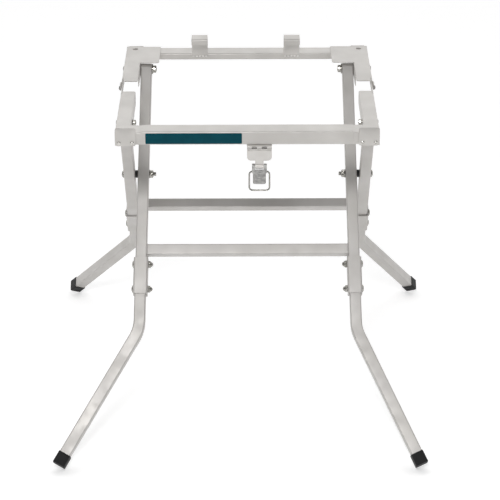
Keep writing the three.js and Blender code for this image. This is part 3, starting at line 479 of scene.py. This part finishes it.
def pivotBoltSurface(size):
    # threaded end with a chamfered tip, plain shank, then the flat seat and the domed head
    tip = size["nutSeat"] - size["washerHeight"] - size["nutHeight"] - size["spare"]
    step = threadForm["pitch"] / threadForm["stepsPerPitch"]
    run = np.arange(tip + threadForm["tipChamfer"], tip + threadForm["run"], step)
    ends = [(tip, 0), (tip, size["radius"] - threadForm["tipChamfer"])]
    threaded = np.stack([run, np.full(len(run), size["radius"])], axis=1)
    seat, rim, rise = size["headSeat"], boltForm["rim"], boltForm["crownRise"]
    body = [(seat, size["radius"]), (seat, size["headRadius"] - rim), (seat + rim, size["headRadius"])]
    head = ellipseArc(seat + rise, size["headHeight"] - rise, size["headRadius"], boltForm["domeSteps"])
    groove = thread(tip, tip + threadForm["run"], threadForm["pitch"], threadForm["depth"])
    return turned(np.concatenate([ends, threaded, body, head]), boltForm["sides"], groove)


def washerNutSurface(size):
    # one closed ring: bore, chamfered hexagon, then the round washer against the seat
    bore = size["radius"] + nutForm["play"]
    boreEnd, edge = nutForm["boreChamfer"], nutForm["washerEdge"]
    seat = size["nutSeat"]
    face = seat - size["washerHeight"]
    end = face - size["nutHeight"]
    flat = size["nutRadius"] * flatShare
    profile = [
        (seat, bore), (end + boreEnd, bore), (end, bore + boreEnd), (end, flat - nutForm["faceInset"]),
        (end + nutForm["chamfer"], size["nutRadius"]), (face - nutForm["seatRise"], size["nutRadius"]),
        (face, size["nutRadius"] - nutForm["seatInset"]), (face, size["washerRadius"] - edge),
        (face + edge, size["washerRadius"]), (seat - edge, size["washerRadius"]),
        (seat, size["washerRadius"] - edge),
    ]
    justShort = face - 0.01  # the washer begins at the face
    return turned(profile, nutForm["sides"], hexagon(end, justShort, size["nutRadius"]), closedProfile=True)


for kind, size in pivots.items():
    for hand, side in hands:
        spot = Matrix.Translation((stand["middle"], size["y"], size["z"])) @ outwards(side)
        pieceFor(f"{kind}_bolt_{hand}", [placed(pivotBoltSurface(size), spot)], "zinc_hardware")
        pieceFor(f"{kind}_nut_{hand}", [placed(washerNutSurface(size), spot)], "zinc_hardware")
for hand, side in hands:
    spot = Matrix.Translation((stand["middle"], 0, stand["scissorHeight"])) @ outwards(side)
    start, end, radius, edge = (spacer[key] for key in ("from", "to", "radius", "edge"))
    curve = edge * spacer["roundShare"]
    ring = [
        (start, spacer["bore"]), (start, radius - edge), (start + curve, radius - curve),
        (start + edge, radius), (end - edge, radius), (end - curve, radius - curve), (end, radius - edge),
        (end, spacer["bore"]),
    ]
    surface = placed(turned(ring, spacer["sides"], closedProfile=True), spot)
    pieceFor(f"scissor_spacer_{hand}", [surface], "black_spacer")
print("pivot hardware made")

# Middle rivets of the top frame's sides
rivet = {
    "y": 17, "z": 594, "tail": 234.0, "tailHeight": 0.6, "shank": 2.1, "seat": 236.7, "headRadius": 3.8,
    "headHeight": 1.9, "tailInset": 0.3, "tailRise": 0.15, "crownRise": 0.2, "domeSteps": 10, "sides": 40,
}
for hand, side in hands:
    tail, seat, radius, rise = rivet["tail"], rivet["seat"], rivet["headRadius"], rivet["crownRise"]
    profile = [
        (tail, 0), (tail, radius - rivet["tailInset"]), (tail + rivet["tailRise"], radius),
        (tail + rivet["tailHeight"], radius), (tail + rivet["tailHeight"], rivet["shank"]),
        (seat, rivet["shank"]), (seat, radius),
        *ellipseArc(seat + rise, rivet["headHeight"] - rise, radius, rivet["domeSteps"]),
    ]
    spot = Matrix.Translation((stand["middle"], rivet["y"], rivet["z"])) @ outwards(side)
    pieceFor(f"middle_rivet_{hand}", [placed(turned(profile, rivet["sides"]), spot)], "dark_rivet")

# Wire bail and the two pins of the latch
latch = {"x": 30.18, "y": -221.8, "pinZ": 571.0, "leverPinZ": 536.3}
latchPins = {
    "radius": 1.9, "chamfer": 0.3, "sides": 32,
    # the hinge pin takes the darker rivet finish so that the windows of the curls read dark: a painted shade
    "latch_hinge_pin": {"half": 21.85, "z": latch["pinZ"], "slot": "dark_rivet"},
    "latch_lever_pin": {"half": 13.1, "z": latch["leverPinZ"], "slot": "zinc_hardware"},
}
bail = {"wire": 1.5, "width": 35.8, "length": 36.3, "corner": 6.2, "topZ": 526.6}


def roundedLoop(width, height, corner, cornerSteps=10):
    # outline of a rectangle with round corners about its centre: each corner is a quarter circle
    quarter = np.linspace(0, np.pi / 2, cornerSteps)
    centres = [(width / 2 - corner, height / 2 - corner), (-width / 2 + corner, height / 2 - corner),
               (-width / 2 + corner, -height / 2 + corner), (width / 2 - corner, -height / 2 + corner)]
    turns = []
    for number, (x, y) in enumerate(centres):
        turn = quarter + number * np.pi / 2
        turns.append(np.stack([x + corner * np.cos(turn), y + corner * np.sin(turn)], axis=1))
    return np.concatenate(turns)


def circle(radius, sides=16):
    # points round a circle about its centre
    angle = np.arange(sides) * (2 * np.pi / sides)
    return np.stack([radius * np.cos(angle), radius * np.sin(angle)], axis=1)


loop = roundedLoop(bail["width"], bail["length"], bail["corner"])
bailPath = np.stack([
    latch["x"] + loop[:, 0], np.full(len(loop), latch["y"]), bail["topZ"] - bail["length"] / 2 + loop[:, 1],
], axis=1)
wire = swept(bailPath, {"normal": (0, 1, 0), "points": circle(bail["wire"])}, closedPath=True)
pieceFor("latch_bail", [wire], "zinc_wire")
for node in ("latch_hinge_pin", "latch_lever_pin"):
    size, radius, chamfer = latchPins[node], latchPins["radius"], latchPins["chamfer"]
    half = size["half"]
    pin = [
        (-half, 0), (-half, radius - chamfer), (-half + chamfer, radius),
        (half - chamfer, radius), (half, radius - chamfer), (half, 0),
    ]
    spot = Matrix.Translation((latch["x"], latch["y"], size["z"]))
    pieceFor(node, [placed(turned(pin, latchPins["sides"]), spot)], size["slot"])
print("latch wire and pins made")

# Stop plates across the corners, each with two socket screws
stopPlates = {
    "front": {
        "edge": 232.2, "width": 36.4, "bottom": 575.6, "top": 609.6, "corner": 4.0, "back": 221.3, "way": -1,
    },
    "rear": {
        "edge": 234.0, "width": 34.4, "bottom": 575.6, "top": 603.6, "corner": 6.0, "back": 223.1, "way": 1,
    },
    "thickness": 2.5, "fromSide": 0.6, "soften": 0.5,
    "screw": {
        "radius": 3.6, "height": 2.0, "socket": 1.7, "socketDepth": 1.4, "z": 581.4, "spacing": 23.0,
        "sunk": 0.4, "rim": 0.1, "crownRise": 0.3, "lip": 0.2, "lipDrop": 0.25, "domeSteps": 12, "sides": 48,
    },
}


def plateSurface(size, thickness, soften, roundShare=0.3):
    # Slab with softened edges: the outline is drawn in steps from the middle of the back, over the rims, to
    # the middle of the front. Each step has its inset and its depth.
    outline = roundedLoop(size["width"], size["top"] - size["bottom"], size["corner"])
    half = np.array([size["width"], size["top"] - size["bottom"]]) / 2
    curve = roundShare * soften
    steps = [(0.0, 0.0), (soften, 0.0), (curve, curve), (0.0, soften),
             (0.0, thickness - soften), (curve, thickness - curve), (soften, thickness), (0.0, thickness)]
    shares = [0.0, *[1.0] * (len(steps) - 2), 0.0]  # both ends shrink to a point
    rings = []
    for (inset, depth), share in zip(steps, shares):
        ring = outline * share * (1 - inset / half)
        rings.append(np.stack([ring[:, 0], np.full(len(ring), depth), ring[:, 1]], axis=1))
    return np.array(rings), False, True


def screwSurface(size, thickness):
    # button head with a hexagonal socket: the profile rises over the dome, then drops into the socket
    base = thickness - size["sunk"]
    top = thickness + size["height"]
    socket = size["socket"] / flatShare
    rise, rim = size["crownRise"], size["rim"]
    dome = ellipseArc(thickness + rise, size["height"] - rise, size["radius"], size["domeSteps"])
    dome = dome[dome[:, 1] > socket + size["lipDrop"]]
    bottom = top - size["socketDepth"]
    lip = [(top - rim, socket + size["lip"]), (top - size["lipDrop"], socket), (bottom, socket), (bottom, 0)]
    skirt = [(base, 0), (base, size["radius"]), (thickness + rim, size["radius"])]
    return turned(np.concatenate([skirt, dome, lip]), size["sides"], hexagonSocket(socket))


def hexagonSocket(socket, slack=0.01):
    # inside the socket the radius stays within a hexagon
    def shape(along, reach, angle):
        inside = (reach <= socket + slack) & (reach > 0)
        return np.where(inside, np.minimum(reach, hexagonReach(socket, angle)), reach)

    return shape


for end in ("front", "rear"):
    size = stopPlates[end]
    for hand, side in hands:
        middle = size["edge"] - stopPlates["fromSide"] - size["width"] / 2
        place = (stand["middle"] + side * middle, size["way"] * size["back"], 0)
        spot = Matrix.Translation(place) @ outwards(size["way"])
        height = Matrix.Translation((0, 0, (size["top"] + size["bottom"]) / 2))
        plate = placed(plateSurface(size, stopPlates["thickness"], stopPlates["soften"]), spot @ height)
        screw = stopPlates["screw"]
        heads = []
        for offset in (-screw["spacing"] / 2, screw["spacing"] / 2):
            facing = Matrix.Translation((offset, 0, screw["z"])) @ Matrix.Rotation(math.pi / 2, 4, "Z")
            heads.append(placed(screwSurface(screw, stopPlates["thickness"]), spot @ facing))
        node = f"{end}_stop_{hand}"
        pieceFor(node, [plate], "painted_sheet")
        screws = makePiece(f"{end}StopScrews{hand.title()}", heads, "zinc_hardware", bodyOfNode[node])
        screws.data.materials[0] = brightZinc
print("stop plates made")

# Weld beads: at the feet of the hooks, and round the ends of the crossbars
weld = {
    "beadRadius": 1.5, "pitch": 2.2, "ripple": 0.14, "stepsPerPitch": 4, "corner": 2.4, "cornerSteps": 6,
    "sides": 10, "outside": 0.2, "swell": 0.07, "swells": 3, "swellShift": 2,
}
hookWelds = {
    "leftX": -82.0, "rightX": 95.0, "width": 30.5, "count": 5, "y": 183.4, "z": 597.6,
    "size": (2.5, 2.2, 1.9),
}
barWelds = {
    "lower": {"inner": True, "half": 186.95, "size": 20.2, "drop": 150.2},
    "upper": {"inner": False, "half": 213.09, "size": 19.2, "drop": 138.3},
}


def beadSurface(centre, size, steps=14, sides=20):
    # small mound of weld metal: an ellipsoid whose surface swells and sinks a little with the angle, shifted
    # by the place so that no two are alike
    turn = np.linspace(0, np.pi, steps)[:, None]
    angle = (np.arange(sides) * (2 * np.pi / sides))[None, :]
    phase = weld["swells"] * angle + weld["swellShift"] * centre[0]
    swell = 1 + weld["swell"] * np.sin(phase) * np.sin(turn)
    x = centre[0] + size[0] * np.cos(turn) * np.ones_like(angle)
    y = centre[1] + size[1] * np.sin(turn) * np.cos(angle) * swell
    z = centre[2] + size[2] * np.sin(turn) * np.sin(angle) * swell
    return np.stack([x, y, z], axis=-1), False, True


def weldLoop(size):
    # bead round a square tube: a circle carried along the tube's outline, swelling at each ripple
    loop = roundedLoop(size, size, weld["corner"], weld["cornerSteps"])
    closed = np.concatenate([loop, loop[:1]])
    length = np.concatenate([[0], np.cumsum(np.linalg.norm(np.diff(closed, axis=0), axis=1))])
    count = int(length[-1] / (weld["pitch"] / weld["stepsPerPitch"]))
    even = np.linspace(0, length[-1], count, endpoint=False)
    across, up = (np.interp(even, length, closed[:, axis]) for axis in (0, 1))
    path = np.stack([np.zeros(count), across, up], axis=1)
    ripple = 1 + weld["ripple"] * np.cos(even * (2 * np.pi / weld["pitch"]))
    section = {"normal": (1, 0, 0), "points": circle(weld["beadRadius"], weld["sides"]), "scale": ripple}
    return swept(path, section, closedPath=True)


# Weld beads: a pale, near-white matt colour, a painted highlight standing for the glint on the beads
weldBeadHighlight = coatedSteel("zincSprayedWeld", {
    **coatLook, "colour": "#f3f1ee", "shade": "#e4e2de", "edge": "#f6f5f2", "metallic": 0.0, "driftSize": 4,
})
for hand, _ in hands:
    middle = hookWelds[f"{hand}X"]
    pitch = hookWelds["width"] / hookWelds["count"]
    offsets = (np.arange(hookWelds["count"]) - (hookWelds["count"] - 1) / 2) * pitch
    centres = [(middle + offset, hookWelds["y"], hookWelds["z"]) for offset in offsets]
    beads = [beadSurface(centre, hookWelds["size"]) for centre in centres]
    piece = makePiece(f"hookWelds{hand.title()}", beads, "painted_sheet", bodyOfNode[f"rear_hook_{hand}"])
    piece.data.materials[0] = weldBeadHighlight
for kind, size in barWelds.items():
    lean = -stand["legAngle"] if size["inner"] else stand["legAngle"]
    loops = []
    for hand, side in hands:
        spot = (
            Matrix.Translation((stand["middle"], 0, stand["scissorHeight"])) @ Matrix.Rotation(lean, 4, "X")
            @ Matrix.Translation((side * (size["half"] + weld["outside"]), 0, -size["drop"]))
        )
        loops.append(placed(weldLoop(size["size"]), spot))
    makePiece(f"{kind}CrossbarWelds", loops, "painted_tube", bodyOfNode[f"{kind}_crossbar"])
print("weld beads made")

# Bare label on the front rail: a printed film with nothing written on it
label = {
    "x": (-169.6, -0.3), "z": (578.8, 598.6), "face": -221.0, "thickness": 0.25, "corner": 2.0,
    "soften": 0.05,
    "film": {"ink": "#004a56", "inkShade": "#004450", "cloudSize": 12, "roughness": 0.55, "specular": 0.12},
}


def labelFilm(look):
    # Printed vinyl film: smooth, with a dull sheen, one flat ink with faint clouds
    material, tree, shader = newMaterial(
        "printedVinylLabel", Roughness=look["roughness"], Specular_IOR_Level=look["specular"],
    )
    place = addNode(tree, "ShaderNodeTexCoord").outputs["Object"]
    ink = blendColours(tree, noise(tree, place, look["cloudSize"], detail=3.0), look["ink"], look["inkShade"])
    tree.links.new(ink, shader.inputs["Base Color"])
    return material


labelSize = {
    "width": label["x"][1] - label["x"][0], "bottom": label["z"][0], "top": label["z"][1],
    "corner": label["corner"],
}
labelSpot = Matrix.Translation((sum(label["x"]) / 2, label["face"], sum(label["z"]) / 2)) @ outwards(-1)
labelSurface = placed(plateSurface(labelSize, label["thickness"], label["soften"]), labelSpot)
labelPiece = makePiece("bareLabel", [labelSurface], "painted_sheet", bodyOfNode["front_rail"])
labelPiece.data.materials[0] = labelFilm(label["film"])
print("label made")


# The rest of the CAD nodes: merged copies with smooth rounds and flat faces
def smoothCopy(node, slot, sharp=50.0, grooves=()):
    # a copy of one node in its place; grooves are blocks cut away from it
    source = nodes[node].data
    points = np.empty(len(source.vertices) * 3, np.float32)
    source.vertices.foreach_get("co", points)
    corners = np.empty(len(source.loops), np.int32)
    source.loops.foreach_get("vertex_index", corners)
    name = pieceName(node)
    mesh = bpy.data.meshes.new(name)
    mesh.from_pydata(points.reshape(-1, 3).tolist(), [], corners.reshape(-1, 3).tolist())
    piece = finishPiece(name, mesh, slot, bodyOfNode[node], [node], sharp)
    if grooves:
        cutAway(piece, grooves, sharp)
    even = piece.modifiers.new("flat faces stay flat", "WEIGHTED_NORMAL")
    even.keep_sharp = True
    even.weight = 100  # the largest faces alone set the normals


def cutAway(piece, blocks, sharp):
    # each block is its lowest and highest corner in millimetres
    shell = bmesh.new()
    for lowest, highest in blocks:
        lowest, highest = Vector(lowest) * metre, Vector(highest) * metre
        size = Matrix.Diagonal((*(highest - lowest), 1))
        bmesh.ops.create_cube(shell, size=1, matrix=Matrix.Translation((lowest + highest) / 2) @ size)
    cutter = bpy.data.objects.new("cutter", bpy.data.meshes.new("cutter"))
    shell.to_mesh(cutter.data)
    shell.free()
    scene.collection.objects.link(cutter)
    cut = piece.modifiers.new("grooves", "BOOLEAN")
    cut.operation = "DIFFERENCE"
    cut.object = cutter
    bpy.context.view_layer.update()
    result = bpy.data.meshes.new_from_object(piece.evaluated_get(bpy.context.evaluated_depsgraph_get()))
    piece.modifiers.clear()
    piece.data = result
    bpy.data.objects.remove(cutter)
    result.shade_smooth()
    result.set_sharp_from_angle(angle=math.radians(sharp))


# words in the names of the nodes that keep the CAD shape, by finish
copies = {
    "painted_tube": ("crossbar", "_leg_", "_sleeve_left", "_sleeve_right"),
    "painted_sheet": ("bracket", "rail", "hook"),
    "rubber_foot": ("_foot_",),
}
for slot, words in copies.items():
    for node in [node for node in nodes if any(word in node for word in words)]:
        smoothCopy(node, slot)

# Hinge of the latch: each curl is left open where the sheet comes round, as a seam on the leaf and as a
# window on the flap
hinge = {
    "width": 43.7, "knuckles": 5,
    "latch_fixed_leaf": {"first": 0, "depth": (2.4, 6.0), "height": (-0.7, 0.9)},
    "latch_flap": {"first": 1, "depth": (1.0, 6.0), "height": (-0.5, 2.7)},
}
for node in ("latch_fixed_leaf", "latch_flap"):
    size = hinge[node]
    pitch = hinge["width"] / hinge["knuckles"]
    blocks = []
    for number in range(size["first"], hinge["knuckles"], 2):
        left = latch["x"] - hinge["width"] / 2 + number * pitch
        blocks.append((
            (left, latch["y"] - size["depth"][1], latch["pinZ"] + size["height"][0]),
            (left + pitch, latch["y"] - size["depth"][0], latch["pinZ"] + size["height"][1]),
        ))
    smoothCopy(node, "latch_sheet", grooves=blocks)
smoothCopy("latch_lever", "ridged_lever")
print("smooth copies made")

# Studio: a pale floor, a bright backdrop that lights from behind, and one soft lamp in front and above
studio = {
    "floorSize": 60.0, "floorColour": "#f2f2f2", "floorGlow": 0.37, "floorDrop": 0.0004,
    "floorRoughness": 0.9, "front": 0.2, "rear": 1.0, "fadeFrom": -0.2, "fadeTo": 0.5, "strength": 1.21,
    "key": {"place": (-0.25, -2.95, 2.8), "size": 0.9, "power": 45.0},
    "aim": (0.0, 0.0, 0.35),
}


def visibleShare(tree):
    # 1 where the camera looks, straight or in a reflection or through glass
    path = addNode(tree, "ShaderNodeLightPath").outputs
    seen = path["Is Camera Ray"]
    for ray in ("Is Glossy Ray", "Is Transmission Ray"):
        seen = addNode(tree, "ShaderNodeMath", {0: seen, 1: path[ray]}, operation="MAXIMUM").outputs[0]
    return seen


def studioFloor(look):
    # matt pale floor that keeps the stand's shadow, with a glow for the camera that takes the rest to white
    material, tree, shader = newMaterial("mattStudioFloor", Roughness=look["floorRoughness"])
    shader.inputs["Base Color"].default_value = linear(look["floorColour"])
    shader.inputs["Emission Color"].default_value = (1, 1, 1, 1)
    seen = visibleShare(tree)
    glow = addNode(tree, "ShaderNodeMath", {0: seen, 1: look["floorGlow"]}, operation="MULTIPLY")
    tree.links.new(glow.outputs[0], shader.inputs["Emission Strength"])
    half = look["floorSize"] / 2
    corners = [(-half, -half), (half, -half), (half, half), (-half, half)]
    mesh = bpy.data.meshes.new("studioFloor")
    mesh.from_pydata([(x, y, -look["floorDrop"]) for x, y in corners], [], [(0, 1, 2, 3)])
    mesh.materials.append(material)
    floor = bpy.data.objects.new("studioFloor", mesh)
    scene.collection.objects.link(floor)


def studioWorld(look):
    # white to the camera; as light, bright behind the stand, where the backdrop is, and dim towards the room
    world = bpy.data.worlds.new("studioSurround")
    scene.world = world
    world.use_nodes = True
    tree = world.node_tree
    tree.nodes.clear()
    direction = addNode(tree, "ShaderNodeTexCoord").outputs["Generated"]
    back = addNode(tree, "ShaderNodeSeparateXYZ", {"Vector": direction}).outputs["Y"]
    level = addNode(tree, "ShaderNodeMapRange", {
        "Value": back, "From Min": look["fadeFrom"], "From Max": look["fadeTo"],
        "To Min": look["front"], "To Max": look["rear"],
    }, interpolation_type="SMOOTHSTEP")
    light = addNode(tree, "ShaderNodeBackground", {"Color": level.outputs[0], "Strength": look["strength"]})
    white = addNode(tree, "ShaderNodeBackground", {"Color": (1, 1, 1, 1), "Strength": 1.0})
    seen = addNode(tree, "ShaderNodeLightPath").outputs["Is Camera Ray"]
    mix = addNode(tree, "ShaderNodeMixShader", {0: seen, 1: light.outputs[0], 2: white.outputs[0]})
    addNode(tree, "ShaderNodeOutputWorld", {"Surface": mix.outputs[0]})


def softLamp(name, look):
    # round area lamp, aimed at the middle of the stand
    data = bpy.data.lights.new(name, "AREA")
    data.shape = "DISK"
    data.size = look["size"]
    data.energy = look["power"]
    lamp = bpy.data.objects.new(name, data)
    lamp.location = look["place"]
    lamp.rotation_euler = (Vector(studio["aim"]) - lamp.location).to_track_quat("-Z", "Y").to_euler()
    scene.collection.objects.link(lamp)


studioFloor(studio)
studioWorld(studio)
softLamp("keyLamp", studio["key"])

# Camera: in front and a little above, from far off, as the picture was taken
view = {
    "place": (0.00765, -3.3946, 1.8715), "pitch": 0.44118, "roll": -0.0029556, "lens": 140.6,
    "shiftX": 0.0063, "farthest": 100,
}
cameraData = bpy.data.cameras.new("pictureCamera")
cameraData.lens = view["lens"]
cameraData.shift_x = view["shiftX"]
cameraData.clip_end = view["farthest"]
camera = bpy.data.objects.new("pictureCamera", cameraData)
scene.collection.objects.link(camera)
camera.matrix_world = (
    Matrix.Translation(view["place"])
    @ Matrix.Rotation(math.pi / 2 - view["pitch"], 4, "X")
    @ Matrix.Rotation(view["roll"], 4, "Z")
)
scene.camera = camera
scene.view_settings.view_transform = "Standard"
print("studio and camera set")

bpy.context.view_layer.update()
